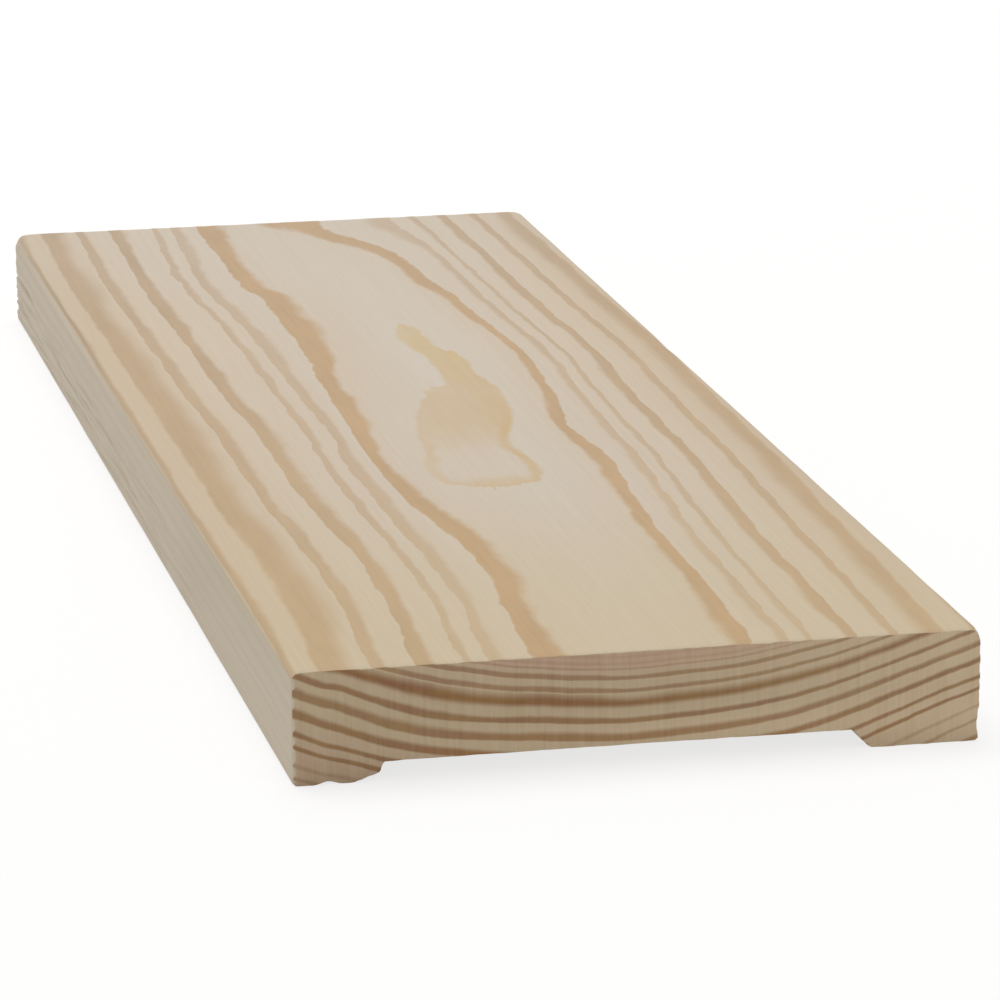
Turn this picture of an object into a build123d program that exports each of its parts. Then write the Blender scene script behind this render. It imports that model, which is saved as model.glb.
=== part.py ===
from build123d import *
import math
import os

# Cover strip moulding: one length of pine, planed on all four sides and run
# through a moulder, so the whole piece is a single section along its grain.
# The face is flat with softly eased arrises. A wide, shallow relief is cut in
# the back, so the strip bears on two lands and bridges whatever lies between.
#
# Frame: origin at the middle of the back, +Y along the grain, +Z out of the
# face. Seen from the -Y end with the face up, +X is to the right.

# Driving sizes, in millimetres and degrees
WIDTH = 90.0
THICKNESS = 15.0
LENGTH = 275.0
LEFT_LAND = 9.3  # bearing land on the -X side, narrower than the other
RIGHT_LAND = 14.7
RELIEF_DEPTH = 2.5
RELIEF_FLANK_ANGLE = 45.0  # between a flank of the relief and the back
FACE_ARRIS_RADIUS = 1.0
BACK_ARRIS_RADIUS = 0.5
LAND_ARRIS_RADIUS = 0.8  # where a land turns into its flank
RELIEF_ROOT_RADIUS = 0.4  # where a flank meets the floor of the relief


def moulder_section():
    """The planed section on the XZ plane, face up, with its back on the X axis."""
    left, right = -WIDTH / 2, WIDTH / 2
    relief_left, relief_right = left + LEFT_LAND, right - RIGHT_LAND
    flank_run = RELIEF_DEPTH / math.tan(math.radians(RELIEF_FLANK_ANGLE))
    with BuildSketch(Plane.XZ) as section:
        with BuildLine():
            Polyline(
                (left, 0),
                (relief_left, 0),
                (relief_left + flank_run, RELIEF_DEPTH),
                (relief_right - flank_run, RELIEF_DEPTH),
                (relief_right, 0),
                (right, 0),
                (right, THICKNESS),
                (left, THICKNESS),
                close=True,
            )
        make_face()
        # The sketch's own Y axis is the height above the back
        back_corners, relief_roots, face_corners = section.vertices().group_by(Axis.Y)
        back_left, land_left, land_right, back_right = back_corners.sort_by(Axis.X)
        fillet(face_corners, FACE_ARRIS_RADIUS)
        fillet([back_left, back_right], BACK_ARRIS_RADIUS)
        fillet([land_left, land_right], LAND_ARRIS_RADIUS)
        fillet(relief_roots, RELIEF_ROOT_RADIUS)
    return section.sketch


def cover_strip():
    """The strip: the section run along the grain and sawn square at both ends."""
    return extrude(moulder_section(), amount=LENGTH / 2, both=True)


strip = cover_strip()
strip.label = "cover_strip"

os.makedirs("parts", exist_ok=True)
export_step(strip, "parts/cover_strip.step")
print("cover_strip", strip.bounding_box().size, "volume", round(strip.volume))
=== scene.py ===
import math

import bmesh
import bpy
from mathutils import Matrix, Vector, noise


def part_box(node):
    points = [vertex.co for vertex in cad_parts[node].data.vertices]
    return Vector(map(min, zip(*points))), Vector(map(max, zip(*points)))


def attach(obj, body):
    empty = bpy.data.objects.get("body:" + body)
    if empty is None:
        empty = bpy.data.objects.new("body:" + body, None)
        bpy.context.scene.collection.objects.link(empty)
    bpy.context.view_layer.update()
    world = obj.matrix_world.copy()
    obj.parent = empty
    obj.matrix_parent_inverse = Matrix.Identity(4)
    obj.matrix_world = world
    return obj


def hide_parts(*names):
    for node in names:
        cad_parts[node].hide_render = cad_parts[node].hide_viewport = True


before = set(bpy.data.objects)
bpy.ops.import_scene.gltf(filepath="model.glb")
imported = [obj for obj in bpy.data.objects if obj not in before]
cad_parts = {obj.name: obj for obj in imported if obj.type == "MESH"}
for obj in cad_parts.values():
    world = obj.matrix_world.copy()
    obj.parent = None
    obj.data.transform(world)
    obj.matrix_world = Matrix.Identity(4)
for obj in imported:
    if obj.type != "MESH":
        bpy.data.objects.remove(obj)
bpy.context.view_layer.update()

# The pine
# The strip was sawn from a Scots pine log whose heart ran along it, well above the face, so the
# years' rings show as smiles on the sawn ends and as long flames on the face. Sizes are in mm.
MM = 0.001
strip_low, strip_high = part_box("cover_strip")
LEFT, NEAR = strip_low.x / MM, strip_low.y / MM
RIGHT, FAR, FACE = strip_high.x / MM, strip_high.y / MM, strip_high.z / MM
HEART_X = 0.5
HEART_RISE = 106.0
# Each year from the inside out: its width, the share of it that is latewood, how gradually that
# comes on and goes off, and how dark it is on the planed face and on the sawn ends
FIRST_GROWTH = -4.0
YEARS = [
    (4.8, 0.1, 0.35, 0.012, 0.84, 0.15),
    (0.85, 0.5, 0.5, 0.05, 0.5, 0.2),
    (0.65, 0.47, 0.4, 0.05, 0.52, 0.35),
    (1.35, 0.5, 0.4, 0.04, 0.78, 0.7),
    (1.7, 0.4, 0.4, 0.04, 0.66, 0.7),
    (2.15, 0.82, 0.6, 0.12, 0.76, 1.0),
    (1.95, 0.46, 0.45, 0.05, 0.7, 0.85),
    (2.35, 0.52, 0.5, 0.05, 0.7, 0.8),
    (2.4, 0.48, 0.45, 0.05, 0.7, 0.85),
    (2.25, 0.36, 0.4, 0.05, 0.7, 0.85),
    (1.55, 0.45, 0.4, 0.05, 0.7, 0.85),
    (2.3, 0.3, 0.5, 0.05, 0.5, 0.35),
    (1.5, 0.4, 0.5, 0.05, 0.5, 0.45),
    (2.0, 0.4, 0.5, 0.05, 0.6, 0.7),
]
ON_FACE = 0
ON_ENDS = 1
growth_span = sum(year[0] for year in YEARS)
# The rings drift outwards and inwards along the strip, in lanes across the face: where a lane
# takes over from the one before, from none of it to all of it, and then place along and drift
DRIFT_SPAN = 4.0
NO_DRIFT = 0.5
INNER_LEFT = [
    (-137.5, -0.22), (-120, -0.1), (-93, 0.1), (-72, -0.05), (-40, -0.44), (-10, -0.28), (10, -0.12),
    (45, 0.06), (60, 0.03), (76, 0.07), (88, -0.17), (120, -0.15), (137.5, -0.13),
]
LEFT_SIDE = [
    (-137.5, -0.3), (-125, -0.18), (-103, 0.1), (-75, -0.02), (-40, -0.12), (-15, 0.05), (30, 0.03),
    (65, -0.1), (92, -0.33), (115, -0.14), (137.5, 0.05),
]
OUTER_LEFT = [
    (-137.5, -0.42), (-130, -0.31), (-115, -0.03), (-90, 0.13), (-70, -0.04), (-45, -0.28),
    (-15, -0.25), (15, -0.46), (60, -0.53), (90, -0.65), (110, -0.53), (137.5, -0.35),
]
LEFT_EDGE = [
    (-137.5, -0.72), (-115, -0.38), (-90, -0.26), (-70, -0.4), (-45, -0.5), (-15, -0.42), (15, -0.5),
    (60, -0.53), (90, -0.65), (110, -0.53), (137.5, -0.35),
]
RIGHT_SIDE = [
    (-137.5, -0.05), (-110, -0.18), (-80, -0.36), (-60, -0.62), (-40, -0.85), (-4, -0.98),
    (9, -1.1), (25, -1.3), (60, -0.99), (85, -0.89), (110, -0.83), (137.5, -0.7),
]
LANES = [
    ((46, 45), INNER_LEFT),
    ((-13.5, -17), LEFT_SIDE),
    ((-22.5, -26.5), OUTER_LEFT),
    ((-38, -42), LEFT_EDGE),
    ((-3, 6), RIGHT_SIDE),
]
# Swellings and hollows of the log that the face and the near end cut through: centre, reach, height
SWELLINGS = [
    ((8, 132, 15), (20, 44, 20), 1.25),
    ((-1, 122, 15), (7, 14, 10), -0.5),
    ((-5, 128, 15), (6, 16, 10), -0.35),
    ((16, 92, 15), (7, 32, 10), 0.35),
    ((17, -20, 15), (6, 24, 10), 0.28),
    ((13, -115, 15), (8, 70, 10), -0.24),
    ((-29, -137.5, 6), (18, 60, 9), -0.9),
    ((43, -137.5, 5), (26, 60, 14), 1.6),
]
# A ring's edge wanders over some centimetres, and is torn every few millimetres: reach and height.
# Away from the middle the face cuts the rings more steeply, so there it takes more to show
WANDERS = [((16, 50, 16), 0.13), ((3.5, 8, 3.5), 0.3)]
WANDER_AT_MIDDLE = 0.55
WANDER_AT_SIDES = 1.6
# Latewood is thicker on the left of the log than on the right, it swells and thins along a ring
# over some 30 mm, and it is fainter on the right: places across, reach and share
LEAN_REACH = 35
SWELL_REACH = (14, 32, 14)
SWELL_NOISE = (0.25, 0.75)
SWELL = 0.22
FAINT_FROM = -15
FAINT_TO = 30
SMOOTH = {"interpolation_type": "SMOOTHSTEP"}


def add_node(tree, kind, settings=None, inputs=None, stops=None):
    """Adds one node with its settings, its inputs set or linked, and its ramp or curve."""
    made = tree.nodes.new(kind)
    for name, value in (settings or {}).items():
        setattr(made, name, value)
    for name, value in (inputs or {}).items():
        if isinstance(value, bpy.types.NodeSocket):
            tree.links.new(value, made.inputs[name])
        else:
            made.inputs[name].default_value = value
    if stops and kind == "ShaderNodeValToRGB":
        while len(made.color_ramp.elements) < len(stops):
            made.color_ramp.elements.new(1.0)
        for element, (place, colour) in zip(made.color_ramp.elements, stops):
            element.position = place
            element.color = colour
    elif stops:
        points = made.mapping.curves[0].points
        while len(points) < len(stops):
            points.new(1.0, 1.0)
        for point, (place, height) in zip(points, stops):
            point.location = (place, height)
            point.handle_type = "AUTO_CLAMPED"
        made.mapping.update()
    return made


def srgb(text):
    """A colour written as sRGB hex, in linear light."""
    parts = [int(text[i : i + 2], 16) / 255 for i in (1, 3, 5)]
    linear = [part / 12.92 if part <= 0.04045 else ((part + 0.055) / 1.055) ** 2.4 for part in parts]
    return (*linear, 1.0)


def share_of_growth(grown):
    """A growth in mm as a share, from 0 where the first year starts to 1 where the last one ends."""
    return (grown - FIRST_GROWTH) / growth_span


def add_course(tree, along, course, zero, span):
    """What changes along the strip, place by place, as a curve from 0 to 1 over a span of values."""
    stops = [((y - NEAR) / (FAR - NEAR), zero + height / span) for y, height in course]
    return add_node(tree, "ShaderNodeFloatCurve", None, {"Value": along}, stops).outputs["Value"]


def add_swellings(tree, place, distance):
    """Adds the log's swellings and hollows to a distance from the heart."""
    for centre, reach, height in SWELLINGS:
        away = add_node(
            tree,
            "ShaderNodeVectorMath",
            {"operation": "MULTIPLY_ADD"},
            {0: place, 1: [1 / r for r in reach], 2: [-c / r for c, r in zip(centre, reach)]},
        ).outputs["Vector"]
        away = add_node(tree, "ShaderNodeVectorMath", {"operation": "LENGTH"}, {0: away}).outputs["Value"]
        swelling = add_node(
            tree,
            "ShaderNodeMapRange",
            SMOOTH,
            {"Value": away, "From Min": 1.0, "From Max": 0.0, "To Max": height},
        ).outputs["Result"]
        distance = add_node(tree, "ShaderNodeMath", None, {0: distance, 1: swelling}).outputs[0]
    return distance


def stretched_noise(tree, place, reach, detail=2.0):
    """Noise whose blobs reach so many mm along each axis, from 0 to 1."""
    stretched = add_node(
        tree, "ShaderNodeVectorMath", {"operation": "MULTIPLY"}, {0: place, 1: [1 / r for r in reach]}
    ).outputs["Vector"]
    return add_node(
        tree,
        "ShaderNodeTexNoise",
        None,
        {"Vector": stretched, "Scale": 1.0, "Detail": detail, "Roughness": 0.6},
    ).outputs[0]


def distance_from_heart(tree):
    """Each point's place in mm, its axes, its share of the length, and how far the middle and heart are."""
    place = add_node(tree, "ShaderNodeTexCoord").outputs["Object"]
    place = add_node(
        tree, "ShaderNodeVectorMath", {"operation": "SCALE"}, {"Vector": place, "Scale": 1 / MM}
    ).outputs["Vector"]
    axes = add_node(tree, "ShaderNodeSeparateXYZ", None, {"Vector": place}).outputs
    along = add_node(
        tree, "ShaderNodeMapRange", None, {"Value": axes["Y"], "From Min": NEAR, "From Max": FAR}
    ).outputs["Result"]
    distance = add_node(
        tree,
        "ShaderNodeVectorMath",
        {"operation": "MULTIPLY_ADD"},
        {0: place, 1: (1, 0, 1), 2: (-HEART_X, 0, -HEART_RISE - FACE)},
    ).outputs["Vector"]
    distance = add_node(tree, "ShaderNodeVectorMath", {"operation": "LENGTH"}, {0: distance}).outputs["Value"]
    off_middle = add_node(tree, "ShaderNodeMath", {"operation": "ABSOLUTE"}, {0: axes["X"]}).outputs[0]
    steep = add_node(
        tree,
        "ShaderNodeMapRange",
        None,
        {"Value": off_middle, "From Max": RIGHT, "To Min": WANDER_AT_MIDDLE, "To Max": WANDER_AT_SIDES},
    ).outputs["Result"]
    for reach, height in WANDERS:
        wander = add_node(
            tree,
            "ShaderNodeMath",
            {"operation": "MULTIPLY_ADD"},
            {0: stretched_noise(tree, place, reach), 1: height, 2: -height / 2},
        ).outputs[0]
        distance = add_node(
            tree, "ShaderNodeMath", {"operation": "MULTIPLY_ADD"}, {0: wander, 1: steep, 2: distance}
        ).outputs[0]
    return place, axes, along, off_middle, distance


def year_rings(tree, place, axes, along, distance, surface, soften, left_swell, right_swell, right_dark):
    """The growth from 0 to 1 over all the years, the season from 0 to 1, and how much latewood shows."""
    # A Mix node's share is input 0, and it mixes the values of inputs 2 and 3 into output 0
    drift = NO_DRIFT
    for (start, stop), curve in LANES:
        lane = add_node(
            tree, "ShaderNodeMapRange", SMOOTH, {"Value": axes["X"], "From Min": start, "From Max": stop}
        ).outputs["Result"]
        course = add_course(tree, along, curve, NO_DRIFT, DRIFT_SPAN)
        drift = add_node(tree, "ShaderNodeMix", None, {0: lane, 2: drift, 3: course}).outputs[0]
    growth = add_node(
        tree, "ShaderNodeMath", {"operation": "MULTIPLY_ADD"}, {0: drift, 1: DRIFT_SPAN, 2: distance}
    ).outputs[0]
    growth = add_swellings(tree, place, growth)
    first = HEART_RISE + DRIFT_SPAN * NO_DRIFT + FIRST_GROWTH
    growth = add_node(
        tree,
        "ShaderNodeMapRange",
        None,
        {"Value": growth, "From Min": first, "From Max": first + growth_span},
    ).outputs["Result"]

    # The curve gives the year at a growth, and the ramp gives that year's habits
    edges = [(0.0, 0.0)]
    habits = []
    grown = 0.0
    for number, (width, share, gradual, fall, *dark) in enumerate(YEARS):
        grown += width
        edges.append((grown / growth_span, (number + 1) / len(YEARS)))
        habit = (share, dark[surface], share * (1 - gradual), 1 - fall * soften)
        habits.append((number / len(YEARS), habit))
    year_curve = add_node(tree, "ShaderNodeFloatCurve", None, {"Value": growth}, edges)
    for point in year_curve.mapping.curves[0].points:
        point.handle_type = "VECTOR"
    year_curve.mapping.update()
    year = year_curve.outputs["Value"]
    habit = add_node(tree, "ShaderNodeValToRGB", None, {"Fac": year}, habits)
    habit.color_ramp.interpolation = "CONSTANT"
    year = add_node(tree, "ShaderNodeMath", {"operation": "MULTIPLY"}, {0: year, 1: len(YEARS)}).outputs[0]
    season = add_node(tree, "ShaderNodeMath", {"operation": "FRACT"}, {0: year}).outputs[0]

    lean = add_node(
        tree,
        "ShaderNodeMapRange",
        None,
        {
            "Value": axes["X"],
            "From Min": -LEAN_REACH,
            "From Max": LEAN_REACH,
            "To Min": -left_swell,
            "To Max": -right_swell,
        },
    ).outputs["Result"]
    swell = add_node(
        tree,
        "ShaderNodeMapRange",
        None,
        {
            "Value": stretched_noise(tree, place, SWELL_REACH, detail=1.0),
            "From Min": SWELL_NOISE[0],
            "From Max": SWELL_NOISE[1],
            "To Min": 1 - SWELL,
            "To Max": 1 + SWELL,
        },
    ).outputs["Result"]
    swell = add_node(tree, "ShaderNodeMath", {"operation": "MULTIPLY"}, {0: lean, 1: swell}).outputs[0]
    fainter = add_node(
        tree,
        "ShaderNodeMapRange",
        None,
        {
            "Value": axes["X"],
            "From Min": FAINT_FROM,
            "From Max": FAINT_TO,
            "To Min": 1.0,
            "To Max": right_dark,
        },
    ).outputs["Result"]
    swell = add_node(tree, "ShaderNodeCombineXYZ", None, {"X": swell, "Y": fainter, "Z": swell}).outputs[0]
    falls = habit.outputs["Alpha"]
    habit = add_node(
        tree,
        "ShaderNodeVectorMath",
        {"operation": "MULTIPLY_ADD"},
        {0: habit.outputs["Color"], 1: swell, 2: (1, 0, 1)},
    ).outputs["Vector"]
    begins, dark, full = add_node(tree, "ShaderNodeSeparateXYZ", None, {"Vector": habit}).outputs
    rising = add_node(
        tree,
        "ShaderNodeMapRange",
        SMOOTH,
        {"Value": season, "From Min": begins, "From Max": full, "To Max": dark},
    ).outputs["Result"]
    late = add_node(
        tree,
        "ShaderNodeMapRange",
        SMOOTH,
        {"Value": season, "From Min": 1.0, "From Max": falls, "To Max": rising},
    ).outputs["Result"]
    return growth, season, late


# Planed Scots pine: the knives leave the pale earlywood silky and the harder latewood as tan bands
# with a crisp outer edge. The pale wood browns with growth, in summer and towards the near end, and
# bleaches towards the far one: growth in mm and colour, then what is followed, from, to, share, colour
planed = bpy.data.materials.new("planed_scots_pine")
planed.use_nodes = True
tree = planed.node_tree
tree.nodes.clear()
place, axes, along, off_middle, distance = distance_from_heart(tree)
growth, season, late = year_rings(
    tree,
    place,
    axes,
    along,
    distance,
    surface=ON_FACE,
    soften=1.0,
    left_swell=1.15,
    right_swell=0.9,
    right_dark=0.95,
)
FACE_EARLYWOOD = [
    (-0.2, "#cec3b4"),
    (0.6, "#cdbfad"),
    (1.2, "#cdbda9"),
    (4.0, "#cdbca5"),
    (7.0, "#c9b59a"),
]
FACE_STAINS = [
    (season, 0.4, 1.0, 0.35, "#cbb495"),
    (axes["Y"], -40, NEAR, 0.7, "#cbb998"),
    (axes["Y"], 40, FAR, 0.36, "#c9bfb1"),
]
stops = [(share_of_growth(grown), srgb(colour)) for grown, colour in FACE_EARLYWOOD]
early = add_node(tree, "ShaderNodeValToRGB", None, {"Fac": growth}, stops).outputs["Color"]
# Of colours, a Mix node mixes inputs 6 and 7 into output 2
for followed, start, stop, share, colour in FACE_STAINS:
    stained = add_node(
        tree,
        "ShaderNodeMapRange",
        SMOOTH,
        {"Value": followed, "From Min": start, "From Max": stop, "To Max": share},
    ).outputs["Result"]
    early = add_node(
        tree, "ShaderNodeMix", {"data_type": "RGBA"}, {0: stained, 6: early, 7: srgb(colour)}
    ).outputs[2]

# Latewood is tan at the near end and greyer at the far one, and the oldest band is the warmest
LATE_NEAR = "#ba9a6f"
LATE_FAR = "#b09679"
LATE_OLDEST = "#bd9767"
OLDEST_GROWTH = 0.8
YOUNGER_GROWTH = 1.2
OLDEST_SHARE = 0.52
TONE_REACH = (6, 22, 6)
TONE_SHARE = 0.14
late_colour = add_node(
    tree, "ShaderNodeMix", {"data_type": "RGBA"}, {0: along, 6: srgb(LATE_NEAR), 7: srgb(LATE_FAR)}
).outputs[2]
oldest = add_node(
    tree,
    "ShaderNodeMapRange",
    None,
    {
        "Value": growth,
        "From Min": share_of_growth(YOUNGER_GROWTH),
        "From Max": share_of_growth(OLDEST_GROWTH),
        "To Max": OLDEST_SHARE,
    },
).outputs["Result"]
late_colour = add_node(
    tree, "ShaderNodeMix", {"data_type": "RGBA"}, {0: oldest, 6: late_colour, 7: srgb(LATE_OLDEST)}
).outputs[2]
tone = stretched_noise(tree, place, TONE_REACH)
late_colour = add_node(
    tree,
    "ShaderNodeMix",
    {"data_type": "RGBA", "blend_type": "OVERLAY"},
    {0: TONE_SHARE, 6: late_colour, 7: tone},
).outputs[2]
wood = add_node(
    tree, "ShaderNodeMix", {"data_type": "RGBA"}, {0: late, 6: early, 7: late_colour}
).outputs[2]

# The tip of one more, older year just reaches the face as an island in the pale middle. Along the
# strip: where its middle is across the face, how far it reaches to each side, and how full it is
ISLAND = [
    (-53, 0.0, 0.0, 8.0),
    (-51.5, 0.0, 5.0, 8.0),
    (-49.5, 0.0, 7.8, 7.0),
    (-46.5, 0.0, 9.2, 3.0),
    (-42, 0.0, 9.7, 1.2),
    (-34, 0.3, 8.8, 1.6),
    (-27, 0.6, 8.0, 4.0),
    (-20, 1.9, 8.4, 6.8),
    (-10, 3.8, 8.9, 9.0),
    (-3, 5.0, 8.4, 10.0),
    (4, 6.8, 7.2, 10.0),
    (9, 7.7, 6.4, 10.0),
    (12, 8.3, 5.1, 10.0),
    (20, 8.5, 4.3, 10.0),
    (26, 9.0, 4.6, 9.0),
    (32, 8.2, 4.1, 9.0),
    (37, 6.8, 3.6, 10.0),
    (44, 6.7, 3.9, 10.0),
    (49, 6.7, 3.4, 10.0),
    (53, 6.8, 0.0, 10.0),
]
ISLAND_SPAN = 10.0
# Its rim is torn along the fibres by a share of the length and across them by some mm, and it
# narrows with depth, because the cut only grazes it. From the rim inwards it comes on and then
# fades to its fullness, and it is darker towards the right and in patches
ISLAND_BODY = "#c8ad85"
ISLAND_TAIL = "#c9b184"
TAIL_FROM = 5
TAIL_TO = 30
RAGGED_REACH = (2.4, 7, 2.4)
RAGGED_ALONG = 0.036
RAGGED_ACROSS = 2.0
NARROWING = 4.0
RIM_FULL = -1.1
INSIDE_FROM = -1.5
INSIDE_TO = -2.9
PALE_LEFT = (-6, 0.62)
DARK_RIGHT = (4, 0.95)
PATCH_NOISE = (0.3, 0.7)
PATCH_DARK = 1.15
PATCH_PALE = 0.75
ragged = stretched_noise(tree, place, RAGGED_REACH)
jagged = add_node(
    tree,
    "ShaderNodeMath",
    {"operation": "MULTIPLY_ADD"},
    {0: ragged, 1: RAGGED_ALONG, 2: -RAGGED_ALONG / 2},
).outputs[0]
jagged = add_node(tree, "ShaderNodeMath", None, {0: jagged, 1: along}).outputs[0]
courses = []
for column in (1, 2, 3):
    course = [(row[0], row[column]) for row in ISLAND]
    courses.append(add_course(tree, jagged, course, 0.0, ISLAND_SPAN))
middle, reach, full = courses
island = add_node(
    tree, "ShaderNodeMath", {"operation": "MULTIPLY_ADD"}, {0: middle, 1: -ISLAND_SPAN, 2: axes["X"]}
).outputs[0]
lean = add_node(
    tree,
    "ShaderNodeMapRange",
    None,
    {
        "Value": island,
        "From Min": PALE_LEFT[0],
        "From Max": DARK_RIGHT[0],
        "To Min": PALE_LEFT[1],
        "To Max": DARK_RIGHT[1],
    },
).outputs["Result"]
patchy = add_node(
    tree,
    "ShaderNodeMapRange",
    None,
    {
        "Value": tone,
        "From Min": PATCH_NOISE[0],
        "From Max": PATCH_NOISE[1],
        "To Min": PATCH_DARK,
        "To Max": PATCH_PALE,
    },
).outputs["Result"]
lean = add_node(tree, "ShaderNodeMath", {"operation": "MULTIPLY"}, {0: lean, 1: patchy}).outputs[0]
island = add_node(tree, "ShaderNodeMath", {"operation": "ABSOLUTE"}, {0: island}).outputs[0]
island = add_node(
    tree, "ShaderNodeMath", {"operation": "MULTIPLY_ADD"}, {0: reach, 1: -ISLAND_SPAN, 2: island}
).outputs[0]
island = add_node(
    tree, "ShaderNodeMath", {"operation": "MULTIPLY_ADD"}, {0: ragged, 1: RAGGED_ACROSS, 2: island}
).outputs[0]
depth = add_node(
    tree, "ShaderNodeMath", {"operation": "MULTIPLY_ADD"}, {0: axes["Z"], 1: -NARROWING, 2: NARROWING * FACE}
).outputs[0]
island = add_node(tree, "ShaderNodeMath", None, {0: island, 1: depth}).outputs[0]
tip = add_node(
    tree,
    "ShaderNodeMapRange",
    SMOOTH,
    {"Value": island, "From Min": INSIDE_FROM, "From Max": INSIDE_TO, "To Min": 1.0, "To Max": full},
).outputs["Result"]
tip = add_node(
    tree,
    "ShaderNodeMapRange",
    SMOOTH,
    {"Value": island, "From Min": 0.0, "From Max": RIM_FULL, "To Max": tip},
).outputs["Result"]
tip = add_node(tree, "ShaderNodeMath", {"operation": "MULTIPLY"}, {0: tip, 1: lean}).outputs[0]
tail = add_node(
    tree, "ShaderNodeMapRange", SMOOTH, {"Value": axes["Y"], "From Min": TAIL_FROM, "From Max": TAIL_TO}
).outputs["Result"]
tip_colour = add_node(
    tree, "ShaderNodeMix", {"data_type": "RGBA"}, {0: tail, 6: srgb(ISLAND_BODY), 7: srgb(ISLAND_TAIL)}
).outputs[2]
wood = add_node(
    tree, "ShaderNodeMix", {"data_type": "RGBA"}, {0: tip, 6: wood, 7: tip_colour}
).outputs[2]

# The rings run nearly square into the sides, which are drawn almost plain and painted greyer as a painted
# cool light, from a little below the face arris down. Fibres are drawn some ten times as coarse as real, to
# show
SIDE_GREY_PAINTED_COOL_LIGHT = "#d0c5b3"
SIDE_FROM = 0.8
SIDE_TO = 0.1
PLAIN_BELOW = (1.7, 0.74)
PLAIN_ABOVE = (0.7, 0.15)
FIBRE_REACH = (0.4, 28, 0.4)
FIBRE_SHARE = 0.14
FIBRE_HEIGHT = 0.03
plain = add_node(
    tree,
    "ShaderNodeMapRange",
    SMOOTH,
    {
        "Value": axes["Z"],
        "From Min": FACE - PLAIN_BELOW[0],
        "From Max": FACE - PLAIN_ABOVE[0],
        "To Min": PLAIN_BELOW[1],
        "To Max": PLAIN_ABOVE[1],
    },
).outputs["Result"]
# The sides' greyer colour is painted cool light; mixing it in also hides the rings there
side = add_node(
    tree,
    "ShaderNodeMapRange",
    SMOOTH,
    {"Value": off_middle, "From Min": RIGHT - SIDE_FROM, "From Max": RIGHT - SIDE_TO, "To Max": plain},
).outputs["Result"]
wood = add_node(
    tree, "ShaderNodeMix", {"data_type": "RGBA"}, {0: side, 6: wood, 7: srgb(SIDE_GREY_PAINTED_COOL_LIGHT)}
).outputs[2]
fibres = stretched_noise(tree, place, FIBRE_REACH, detail=3.0)
wood = add_node(
    tree,
    "ShaderNodeMix",
    {"data_type": "RGBA", "blend_type": "SOFT_LIGHT"},
    {0: FIBRE_SHARE, 6: wood, 7: fibres},
).outputs[2]
relief = add_node(
    tree, "ShaderNodeBump", None, {"Height": fibres, "Strength": 1.0, "Distance": FIBRE_HEIGHT * MM}
).outputs["Normal"]
shader = add_node(
    tree,
    "ShaderNodeBsdfPrincipled",
    None,
    {"Base Color": wood, "Roughness": 0.68, "IOR": 1.5, "Specular IOR Level": 0.35, "Normal": relief},
)
add_node(tree, "ShaderNodeOutputMaterial", None, {"Surface": shader.outputs["BSDF"]})

# Crosscut Scots pine: the saw opens the cells, so the ends drink in light and look browner than the
# planed faces. Latewood is a dark line in each ring, a little broken by the saw's upright marks,
# and in the outer years it is darker towards the right: growth in mm, places across and share
sawn = bpy.data.materials.new("crosscut_scots_pine")
sawn.use_nodes = True
tree = sawn.node_tree
tree.nodes.clear()
place, axes, along, _, distance = distance_from_heart(tree)
growth, _, late = year_rings(
    tree,
    place,
    axes,
    along,
    distance,
    surface=ON_ENDS,
    soften=3.2,
    left_swell=1.44,
    right_swell=1.1,
    right_dark=0.88,
)
OUTER_GROWTH = (10.0, 14.0)
OUTER_ACROSS = (24, 36)
OUTER_DARKER = 1.1
outer = add_node(
    tree,
    "ShaderNodeMapRange",
    None,
    {
        "Value": growth,
        "From Min": share_of_growth(OUTER_GROWTH[0]),
        "From Max": share_of_growth(OUTER_GROWTH[1]),
        "To Min": 1.0,
        "To Max": OUTER_DARKER,
    },
).outputs["Result"]
outer = add_node(
    tree,
    "ShaderNodeMapRange",
    None,
    {
        "Value": axes["X"],
        "From Min": OUTER_ACROSS[0],
        "From Max": OUTER_ACROSS[1],
        "To Min": 1.0,
        "To Max": outer,
    },
).outputs["Result"]
late = add_node(tree, "ShaderNodeMath", {"operation": "MULTIPLY"}, {0: late, 1: outer}).outputs[0]

# Earlywood is pinkish near the heart and paler towards the right, and low down it is painted paler, a painted
# bounce light from the floor: growth in mm and colour, then heights, and the share at two places across,
# above and below
END_EARLYWOOD = [
    (1.6, "#c8aa91"),
    (3.0, "#c9b396"),
    (8.0, "#c8b395"),
    (12.0, "#cab697"),
    (19.0, "#c2a78d"),
]
PALE_AND_BOUNCE_LIGHT_COLOUR = "#e0c9a8"
BOUNCE_LIGHT_HEIGHTS = (8.5, 3.5)
PALER_ABOVE = ((0, 0.0), (42, 0.55))
PALER_AND_BOUNCE_BELOW = ((-42, 0.1), (18, 0.9))
stops = [(share_of_growth(grown), srgb(colour)) for grown, colour in END_EARLYWOOD]
early = add_node(tree, "ShaderNodeValToRGB", None, {"Fac": growth}, stops).outputs["Color"]
levels = []
for (start, start_share), (stop, stop_share) in (PALER_ABOVE, PALER_AND_BOUNCE_BELOW):
    level = add_node(
        tree,
        "ShaderNodeMapRange",
        None,
        {
            "Value": axes["X"],
            "From Min": start,
            "From Max": stop,
            "To Min": start_share,
            "To Max": stop_share,
        },
    ).outputs["Result"]
    levels.append(level)
# Paler towards the right, and painted bounce light from the floor low down
paler_and_painted_bounce = add_node(
    tree,
    "ShaderNodeMapRange",
    SMOOTH,
    {
        "Value": axes["Z"],
        "From Min": BOUNCE_LIGHT_HEIGHTS[0],
        "From Max": BOUNCE_LIGHT_HEIGHTS[1],
        "To Min": levels[0],
        "To Max": levels[1],
    },
).outputs["Result"]
early = add_node(
    tree, "ShaderNodeMix", {"data_type": "RGBA"}, {0: paler_and_painted_bounce, 6: early, 7: srgb(PALE_AND_BOUNCE_LIGHT_COLOUR)}
).outputs[2]

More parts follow.
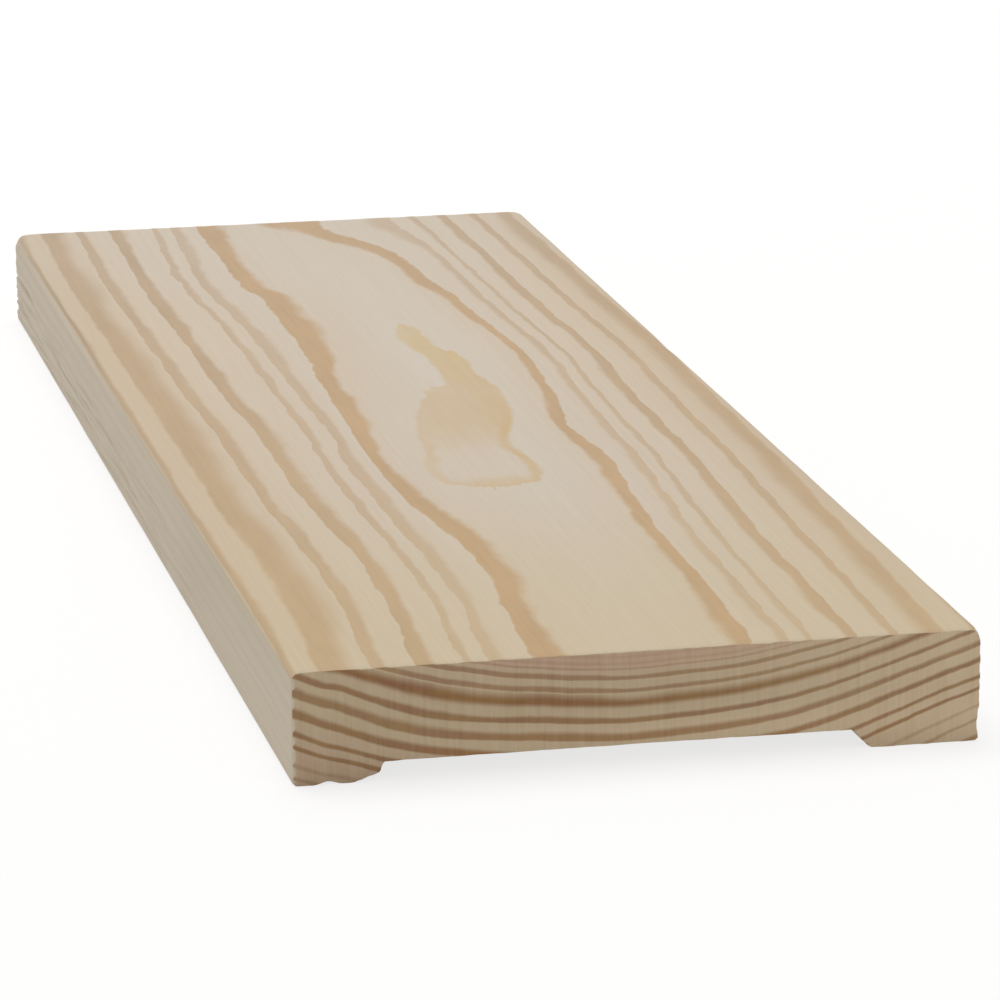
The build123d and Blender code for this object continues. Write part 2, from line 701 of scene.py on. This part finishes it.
# Latewood goes from olive to reddish brown in patches, and low down, right of the left land, resin
# makes it orange: patch size, places across and heights
END_TONE_REACH = (9, 9, 2.5)
END_LATE_TONES = [(0.35, "#9b774a"), (0.65, "#956b50")]
RESIN_COLOUR = "#a67545"
RESIN_ACROSS = (-34, -24)
RESIN_HEIGHTS = (7, 3)
RESIN_SHARE = 0.8
tone = stretched_noise(tree, place, END_TONE_REACH)
stops = [(level, srgb(colour)) for level, colour in END_LATE_TONES]
late_colour = add_node(tree, "ShaderNodeValToRGB", None, {"Fac": tone}, stops).outputs["Color"]
resin = add_node(
    tree,
    "ShaderNodeMapRange",
    None,
    {"Value": axes["X"], "From Min": RESIN_ACROSS[0], "From Max": RESIN_ACROSS[1], "To Max": RESIN_SHARE},
).outputs["Result"]
resin = add_node(
    tree,
    "ShaderNodeMapRange",
    SMOOTH,
    {"Value": axes["Z"], "From Min": RESIN_HEIGHTS[0], "From Max": RESIN_HEIGHTS[1], "To Max": resin},
).outputs["Result"]
late_colour = add_node(
    tree, "ShaderNodeMix", {"data_type": "RGBA"}, {0: resin, 6: late_colour, 7: srgb(RESIN_COLOUR)}
).outputs[2]
wood = add_node(
    tree, "ShaderNodeMix", {"data_type": "RGBA"}, {0: late, 6: early, 7: late_colour}
).outputs[2]

# The saw's upright marks are drawn half a millimetre wide, a few times as coarse as real, to show
MARK_REACH = (0.45, 1, 9)
MARK_SHARE = 0.3
MARK_HEIGHT = 0.08
marks = stretched_noise(tree, place, MARK_REACH, detail=3.0)
wood = add_node(
    tree,
    "ShaderNodeMix",
    {"data_type": "RGBA", "blend_type": "SOFT_LIGHT"},
    {0: MARK_SHARE, 6: wood, 7: marks},
).outputs[2]
relief = add_node(
    tree, "ShaderNodeBump", None, {"Height": marks, "Strength": 1.0, "Distance": MARK_HEIGHT * MM}
).outputs["Normal"]
shader = add_node(
    tree,
    "ShaderNodeBsdfPrincipled",
    None,
    {"Base Color": wood, "Roughness": 0.85, "IOR": 1.5, "Specular IOR Level": 0.25, "Normal": relief},
)
add_node(tree, "ShaderNodeOutputMaterial", None, {"Surface": shader.outputs["BSDF"]})

# The moulded strip
# A square length of the pine, planed on all sides. The moulder cut the shallow relief in the back,
# which leaves two lands to bear on the wall, and eased every long arris.
LEFT_LAND = 9.3
RIGHT_LAND = 14.7
RELIEF_DEPTH = 2.5
FACE_ARRIS = 1.0
BACK_ARRIS = 0.5
LAND_ARRIS = 0.8
RELIEF_ROOT = 0.4
relief_left = LEFT + LEFT_LAND
relief_right = RIGHT - RIGHT_LAND
root_left = relief_left + RELIEF_DEPTH
root_right = relief_right - RELIEF_DEPTH
outline = [
    (LEFT, 0),
    (relief_left, 0),
    (root_left, RELIEF_DEPTH),
    (root_right, RELIEF_DEPTH),
    (relief_right, 0),
    (RIGHT, 0),
    (RIGHT, FACE),
    (LEFT, FACE),
]
timber = bmesh.new()
near_end = timber.faces.new([timber.verts.new((x, NEAR, z)) for x, z in outline])
run = bmesh.ops.extrude_face_region(timber, geom=[near_end])
far_corners = [part for part in run["geom"] if isinstance(part, bmesh.types.BMVert)]
bmesh.ops.translate(timber, vec=(0, FAR - NEAR, 0), verts=far_corners)
bmesh.ops.recalc_face_normals(timber, faces=timber.faces)

# At the 135 degree corners of the relief, a radius takes up less of the faces beside it
SAME_PLACE = 0.01
LENGTHWISE = 1
shallow = math.tan(math.radians(22.5))
for corners, setback, steps in (
    ([(LEFT, FACE), (RIGHT, FACE)], FACE_ARRIS, 5),
    ([(LEFT, 0), (RIGHT, 0)], BACK_ARRIS, 4),
    ([(relief_left, 0), (relief_right, 0)], LAND_ARRIS * shallow, 3),
    ([(root_left, RELIEF_DEPTH), (root_right, RELIEF_DEPTH)], RELIEF_ROOT * shallow, 2),
):
    arrises = []
    for edge in timber.edges:
        start, stop = (vert.co for vert in edge.verts)
        at_corner = any(abs(start.x - x) + abs(start.z - z) < SAME_PLACE for x, z in corners)
        if at_corner and abs(stop.y - start.y) > LENGTHWISE:
            arrises.append(edge)
    bmesh.ops.bevel(
        timber,
        geom=arrises,
        offset=setback,
        offset_type="OFFSET",
        segments=steps,
        profile=0.5,
        affect="EDGES",
        material=-1,
    )

# Cuts across the width and the thickness give the ends a fine grid, and rows that crowd towards
# the ends let the saw cuts' arrises break up
COLUMN = 0.5
LAYER = 0.3
ROWS = 90
ON_THE_CUT = 0.0005
for count, step, start, way in (
    (round((RIGHT - LEFT) / COLUMN), COLUMN, LEFT, (1, 0, 0)),
    (round(FACE / LAYER), LAYER, 0, (0, 0, 1)),
):
    for cut in range(1, count):
        bmesh.ops.bisect_plane(
            timber,
            geom=timber.verts[:] + timber.edges[:] + timber.faces[:],
            dist=ON_THE_CUT,
            plane_co=Vector(way) * (start + cut * step),
            plane_no=way,
        )
lengthwise = [edge for edge in timber.edges if abs(edge.verts[0].co.y - edge.verts[1].co.y) > LENGTHWISE]
bmesh.ops.subdivide_edges(timber, edges=lengthwise, cuts=ROWS - 1, use_grid_fill=True)
half_length = (FAR - NEAR) / 2
middle_y = (FAR + NEAR) / 2
for vert in timber.verts:
    share = min(abs(vert.co.y - middle_y) / half_length, 1.0)
    vert.co.y = middle_y + math.copysign((1 - (1 - share) ** 2) * half_length, vert.co.y - middle_y)
PLANED_SLOT = 0
SAWN_SLOT = 1
SQUARE_ON = 0.9
for face in timber.faces:
    face.material_index = SAWN_SLOT if abs(face.normal.y) > SQUARE_ON else PLANED_SLOT
    face.smooth = True

# Saw marks, broken arrises and handling
# The saw rippled the ends and broke their arrises, mostly in the soft earlywood and on the left.
# The knives left waves in the relief's floor and tore the left side, and handling wore the arrises.
SAW_PITCH = 2.4
SAW_SLANT = 0.12
SAW_RIPPLE = 0.03
SAW_TEAR_SIZE = 1.1
BREAK_REACH = 0.9
BREAK_LEAST = 0.05
BREAK_SOFT = 0.1
BREAK_SOFT_LEFT = 0.26
BREAK_CHANCE = 0.12
BREAK_SIZE = 1.3
BREAK_ELSEWHERE = 0.4
ON_THE_END = 0.001
ASLANT = 0.3
ARRIS_WEAR = 0.06
ARRIS_WEAR_LENGTH = 9
TORN_GRAIN = 0.6
TORN_LENGTH = 20
TORN_HEIGHT = 0.75
TORN_ROW = 3
TORN_STEP = 0.12
TORN_STEP_OVER = 0.1
TORN_FROM = -75
TORN_FADE = 60
TORN_TOP = 9.6
TORN_TOP_FADE = 3
TORN_FOOT_FADE = 1.2
WAVE_HEIGHT = 0.16
WAVE_SIZE = (5, 30)
WAVE_ROW = 7
# Dents and chips at the corners and lands, a worn step along the left face arris and three grooves
# torn from the left side at the far end: centre, reach, push
DENTS = [
    ((-45, 137.5, 15), (2.4, 3.0, 2.4), (0.3, -0.5, -0.3)),
    ((45, 137.5, 15), (2.0, 2.4, 2.0), (-0.15, -0.3, -0.15)),
    ((-40.5, -137.5, 0), (2.0, 9, 1.6), (0, 0, 0.42)),
    ((-35.9, -137.5, 0), (1.7, 12, 1.5), (-0.12, 0, 0.4)),
    ((-34.2, -137.5, 1.5), (1.6, 14, 1.4), (0.34, 0, -0.3)),
    ((45, -137.5, 2), (2, 34, 4), (-0.25, 0, 0)),
    ((45, -137.5, 15), (2, 2.6, 2), (-0.2, 0.1, -0.2)),
    ((-45, -62, 15), (2, 5, 2), (0.12, 0, -0.12)),
    ((45, 30, 15), (2, 7, 2), (-0.12, 0, -0.12)),
    ((-45, 70, 14.2), (1.3, 85, 1.1), (0.36, 0, 0)),
    ((-45, 124, 7.6), (1, 15, 0.8), (0.4, 0, 0)),
    ((-45, 129, 4.9), (1, 11, 0.7), (0.36, 0, 0)),
    ((-45, 127, 2.7), (1, 10, 0.9), (0.4, 0, 0)),
]


def faded(share):
    """A soft step from 0 to 1."""
    share = min(max(share, 0.0), 1.0)
    return share * share * (3 - 2 * share)


def nearness(spot, centre, reach):
    """1 at a centre, fading softly to 0 at its reach along each axis."""
    return faded(1 - Vector([(s - c) / r for s, c, r in zip(spot, centre, reach)]).length)


def drift_at(curve, y):
    """A drift between the two places along the strip that are next to y."""
    for (before, low), (after, high) in zip(curve, curve[1:]):
        if y <= after:
            return low + (high - low) * max(y - before, 0) / (after - before)
    return curve[-1][1]


def earlywood_at(spot):
    """1 in the soft wood of a ring and 0 in its latewood."""
    drift = 0.0
    for (start, stop), curve in LANES:
        drift += (drift_at(curve, spot.y) - drift) * faded((spot.x - start) / (stop - start))
    grown = math.hypot(spot.x - HEART_X, HEART_RISE + FACE - spot.z) - HEART_RISE - FIRST_GROWTH + drift
    for centre, reach, height in SWELLINGS:
        grown += height * nearness(spot, centre, reach)
    for width, share, *_ in YEARS:
        if grown < width:
            return 1.0 if grown < width * (1 - share) else 0.0
        grown -= width
    return 1.0


def torn_grain_at(spot):
    """How deep the knives tore the left side, in grooves along its lower part, away from the near end."""
    torn = noise.noise(Vector((TORN_ROW, spot.y / TORN_LENGTH, spot.z / TORN_HEIGHT)))
    torn *= faded((spot.y - TORN_FROM) / TORN_FADE)
    torn *= faded((TORN_TOP - spot.z) / TORN_TOP_FADE)
    torn *= faded(spot.z / TORN_FOOT_FADE)
    return TORN_GRAIN * max(0.0, torn + TORN_STEP * faded(torn / TORN_STEP_OVER))


timber.normal_update()
moves = []
for vert in timber.verts:
    spot, out = vert.co, vert.normal
    to_cut = half_length - abs(spot.y - middle_y)
    soft = earlywood_at(spot) if to_cut < BREAK_REACH else 0.0
    move = Vector()
    if to_cut < ON_THE_END:
        ripple = 0.5 + 0.5 * math.sin(math.tau * (spot.x + SAW_SLANT * spot.z) / SAW_PITCH)
        tear = 0.5 + 0.5 * noise.noise(spot / SAW_TEAR_SIZE)
        move.y = math.copysign(SAW_RIPPLE * (ripple + tear + soft), middle_y - spot.y)
    across = Vector((out.x, 0, out.z))
    if across.length > ASLANT:
        across.normalize()
        chip = BREAK_LEAST + (BREAK_SOFT + BREAK_SOFT_LEFT * max(0.0, -across.x)) * soft
        chip += BREAK_CHANCE * max(0.0, noise.noise(spot / BREAK_SIZE))
        if across.z < -ASLANT or spot.y > middle_y:
            chip *= BREAK_ELSEWHERE
        move -= across * chip * max(0.0, 1 - to_cut / BREAK_REACH) ** 2
        arris = 4 * across.x**2 * across.z**2
        wear = 1 + noise.noise(Vector((spot.x, spot.y / ARRIS_WEAR_LENGTH, spot.z)))
        move -= across * arris * ARRIS_WEAR * wear
        if across.x < -SQUARE_ON:
            move.x += torn_grain_at(spot)
        if across.z < -SQUARE_ON and spot.z > RELIEF_DEPTH / 2:
            wave = 0.5 + 0.5 * noise.noise(Vector((spot.x / WAVE_SIZE[0], spot.y / WAVE_SIZE[1], WAVE_ROW)))
            move.z += WAVE_HEIGHT * wave
    for centre, reach, push in DENTS:
        move += Vector(push) * nearness(spot, centre, reach)
    moves.append(move)
for vert, move in zip(timber.verts, moves):
    vert.co += move
CREASE_ANGLE = 38
for edge in timber.edges:
    edge.smooth = edge.calc_face_angle(0) < math.radians(CREASE_ANGLE)
timber.transform(Matrix.Scale(MM, 4))
strip_mesh = bpy.data.meshes.new("cover_strip_pine")
timber.to_mesh(strip_mesh)
timber.free()
strip_mesh.materials.append(planed)
strip_mesh.materials.append(sawn)
strip = bpy.data.objects.new("cover_strip_pine", strip_mesh)
bpy.context.collection.objects.link(strip)
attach(strip, "root")
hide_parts("cover_strip")

# The floor
# A sheet of plain white paper that fills the view and takes the strip's soft shadow. It is seen lifted
# most of the way to white, and lights the strip as paper does. From here on, sizes are in metres.
FLOOR_REACH = 6.0
PAPER = "#f0efec"
LIFTED = 0.7
LIFTED_WHITE = 1.08
WHITE = "#ffffff"


def looking_rays(tree):
    """1 for rays that look at a backdrop, straight or in a reflection, and 0 for rays that light by it."""
    rays = add_node(tree, "ShaderNodeLightPath").outputs
    looking = rays["Is Camera Ray"]
    for kind in ("Is Glossy Ray", "Is Transmission Ray"):
        looking = add_node(
            tree, "ShaderNodeMath", {"operation": "MAXIMUM"}, {0: looking, 1: rays[kind]}
        ).outputs[0]
    return looking


paper = bmesh.new()
bmesh.ops.create_grid(paper, x_segments=1, y_segments=1, size=FLOOR_REACH)
floor_mesh = bpy.data.meshes.new("paper_floor")
paper.to_mesh(floor_mesh)
paper.free()
floor = bpy.data.objects.new("paper_floor", floor_mesh)
bpy.context.collection.objects.link(floor)
white_paper = bpy.data.materials.new("matt_white_paper")
white_paper.use_nodes = True
tree = white_paper.node_tree
tree.nodes.clear()
whitened = add_node(
    tree, "ShaderNodeMath", {"operation": "MULTIPLY"}, {0: looking_rays(tree), 1: LIFTED}
).outputs[0]
sheet = add_node(tree, "ShaderNodeBsdfDiffuse", None, {"Color": srgb(PAPER)}).outputs["BSDF"]
glow = add_node(
    tree, "ShaderNodeEmission", None, {"Color": srgb(WHITE), "Strength": LIFTED_WHITE}
).outputs["Emission"]
mixed = add_node(tree, "ShaderNodeMixShader", None, {0: whitened, 1: sheet, 2: glow}).outputs[0]
add_node(tree, "ShaderNodeOutputMaterial", None, {"Surface": mixed})
floor_mesh.materials.append(white_paper)

# The studio light
# An even pale room and one large soft box above and a little behind the strip, so the face is
# brightest, the sides are darker and the near end is in soft shade; the sides' grey tone is painted cool
# light.
ROOM_LIGHT = 0.52
BACKDROP_WHITE = 1.0
SOFT_BOX_SIZE = 1.2
SOFT_BOX_WATTS = 16.5
SOFT_BOX_PLACE = (-0.2, 0.55, 1.7)
room = bpy.data.worlds.new("studio_room")
bpy.context.scene.world = room
room.use_nodes = True
tree = room.node_tree
tree.nodes.clear()
walls = add_node(
    tree, "ShaderNodeBackground", None, {"Color": srgb(WHITE), "Strength": ROOM_LIGHT}
).outputs[0]
backdrop = add_node(
    tree, "ShaderNodeBackground", None, {"Color": srgb(WHITE), "Strength": BACKDROP_WHITE}
).outputs[0]
mixed = add_node(
    tree, "ShaderNodeMixShader", None, {0: looking_rays(tree), 1: walls, 2: backdrop}
).outputs[0]
add_node(tree, "ShaderNodeOutputWorld", None, {"Surface": mixed})
soft_box = bpy.data.lights.new("soft_box", "AREA")
soft_box.shape = "SQUARE"
soft_box.size = SOFT_BOX_SIZE
soft_box.energy = SOFT_BOX_WATTS
soft_box_lamp = bpy.data.objects.new("soft_box", soft_box)
soft_box_lamp.location = SOFT_BOX_PLACE
soft_box_lamp.rotation_euler = (-soft_box_lamp.location).to_track_quat("-Z", "Y").to_euler()
bpy.context.collection.objects.link(soft_box_lamp)

# The camera
# A long lens in front of the near end, to its left and a little above, as in the photograph. It is
# turned to the right, tipped down and rolled by these degrees. Its sensor and lens are in mm.
CAMERA_PLACE = (-0.15453, -0.7705, 0.2048)
CAMERA_TURN = -12.152
CAMERA_TIP = 14.629
CAMERA_ROLL = -0.202
SENSOR_WIDTH = 36.0
FOCAL_LENGTH = 192.6
lens = bpy.data.cameras.new("camera")
lens.sensor_width = SENSOR_WIDTH
lens.lens = FOCAL_LENGTH
lens.clip_start = 0.05
camera = bpy.data.objects.new("camera", lens)
turn = (
    Matrix.Rotation(math.radians(CAMERA_TURN), 4, "Z")
    @ Matrix.Rotation(math.radians(90 - CAMERA_TIP), 4, "X")
    @ Matrix.Rotation(math.radians(CAMERA_ROLL), 4, "Z")
)
camera.matrix_world = Matrix.Translation(CAMERA_PLACE) @ turn
bpy.context.collection.objects.link(camera)
bpy.context.scene.camera = camera
bpy.context.scene.view_settings.view_transform = "Standard"
